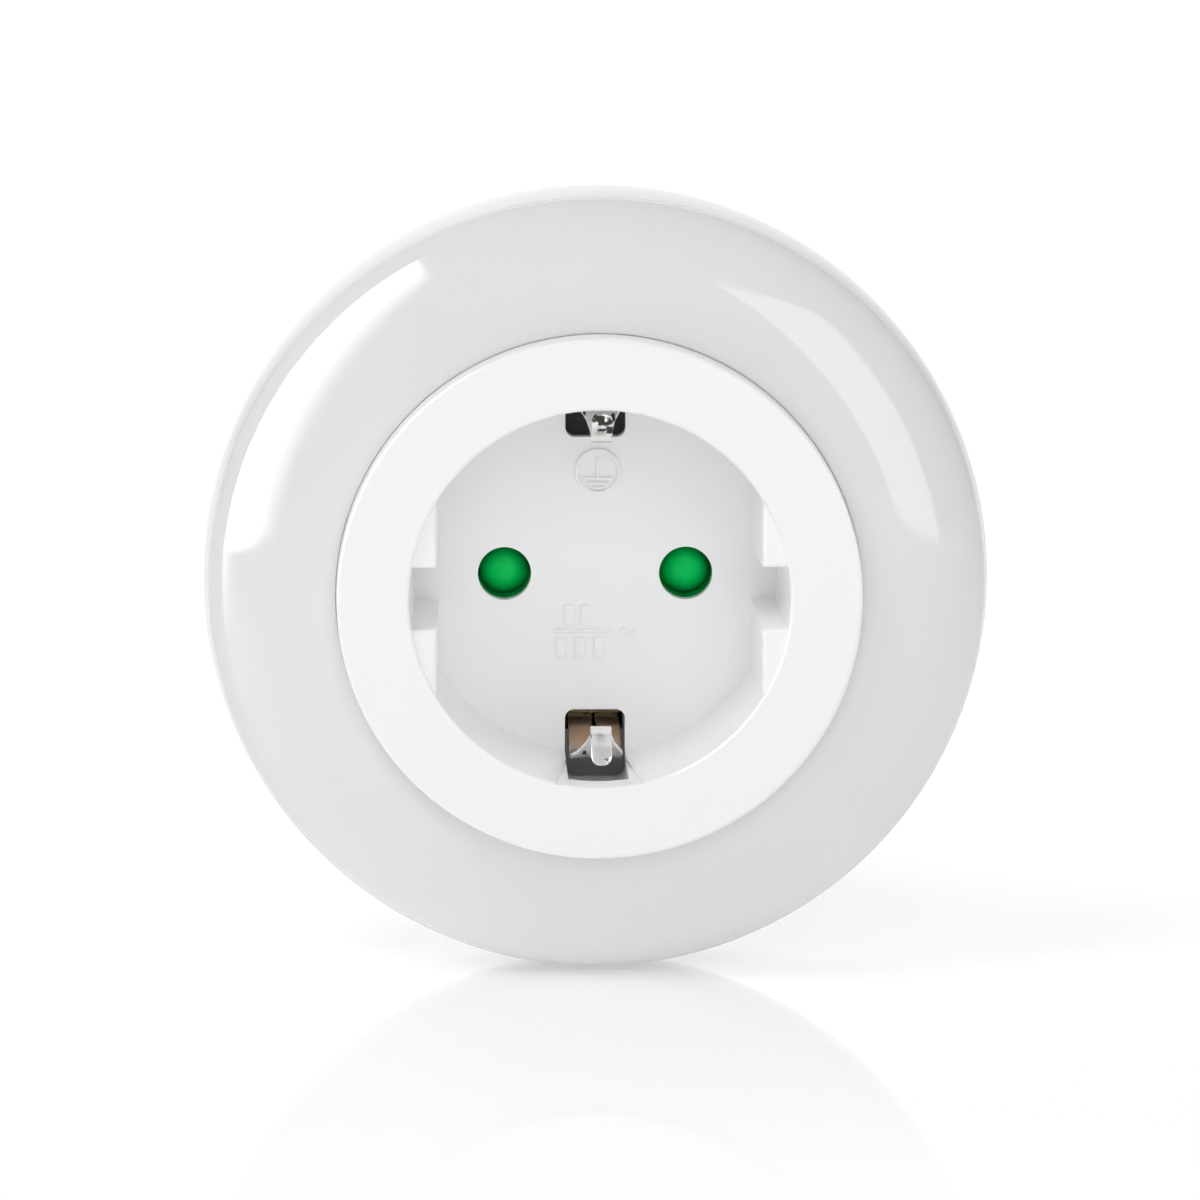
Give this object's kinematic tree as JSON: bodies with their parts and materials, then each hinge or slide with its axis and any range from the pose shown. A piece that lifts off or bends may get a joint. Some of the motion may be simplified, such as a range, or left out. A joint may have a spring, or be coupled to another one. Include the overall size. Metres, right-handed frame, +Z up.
{
  "type": "plug-in socket night light",
  "caption": "Round plug-in night light: milky domed light ring around a pass-through earthed socket with a sliding shutter, on a two-pin earthed wall plug.",
  "frame": {"origin": "on the socket and plug axis, at the wall plane where the back of the housing rests", "axes": "+Z up, +X to the right as the user faces the socket, -Y out of the wall towards the user; the plug points along +Y"},
  "size_m": [0.082, 0.0615, 0.082],
  "materials": {
    "socket_white": "fine satin moulding, polished rim",
    "diffuser_milk": "milky translucent, glossy outside",
    "housing_white": "glossy moulding",
    "shutter_green": "glossy moulding",
    "cage_grey": "plain moulding",
    "carrier_ivory": "plain moulding",
    "spring_steel": "drawn wire",
    "contact_brass": "stamped strip",
    "pin_nickel": "nickel plated, drawn",
    "clip_nickel": "nickel plated strip",
    "yoke_brass": "stamped strip, lightly tarnished",
    "board_white": "white solder mask",
    "led_phosphor": "silicone dome over white case",
    "film_cap_red": "dipped case",
    "can_black": "sleeved can",
    "chip_black": "moulded case",
    "fuse_green": "lacquered body",
    "sensor_clear": "clear lens",
    "lead_brown": "soft insulation",
    "lead_blue": "soft insulation",
    "screw_zinc": "zinc plated"
  },
  "bodies": {
    "housing": {"socket_cup": "socket_white", "diffuser": "diffuser_milk", "rear_housing": "housing_white", "shutter_cage": "cage_grey", "shutter_spring": "spring_steel", "contact_carrier": "carrier_ivory", "line_contact": "contact_brass", "neutral_contact": "contact_brass", "line_pin": "pin_nickel", "neutral_pin": "pin_nickel", "line_lead": "lead_brown", "neutral_lead": "lead_blue", "earth_yoke": "yoke_brass", "earth_rivets": "contact_brass", "led_board": "board_white", "leds": "led_phosphor", "film_capacitor": "film_cap_red", "smoothing_capacitor": "can_black", "bridge_rectifier": "chip_black", "fusible_resistor": "fuse_green", "chip_resistors": "chip_black", "transistor": "chip_black", "light_sensor": "sensor_clear", "case_screws": "screw_zinc", "board_screws": "screw_zinc"},
    "shutter": {"shutter": "shutter_green"},
    "earth_clip_top": {"earth_clip_top": "clip_nickel"},
    "earth_clip_bottom": {"earth_clip_bottom": "clip_nickel"}
  },
  "joints": [
    {"name": "shutter_slide", "type": "slide", "parent": "housing", "child": "shutter", "axis": [0, 0, -1], "range_m": [0, 0.0062], "stiffness_N_per_m": 300, "springref_m": -0.003, "deforming": ["shutter_spring"]},
    {"name": "earth_clip_top_flex", "type": "hinge", "parent": "housing", "child": "earth_clip_top", "pos_m": [0, 0.007, 0.0165], "axis": [-1, 0, 0], "range_deg": [0, 3.2], "stiffness_Nm_per_rad": 2.5, "springref_deg": -1.15},
    {"name": "earth_clip_bottom_flex", "type": "hinge", "parent": "housing", "child": "earth_clip_bottom", "pos_m": [0, 0.007, -0.0165], "axis": [1, 0, 0], "range_deg": [0, 3.2], "stiffness_Nm_per_rad": 2.5, "springref_deg": -1.15}
  ]
}
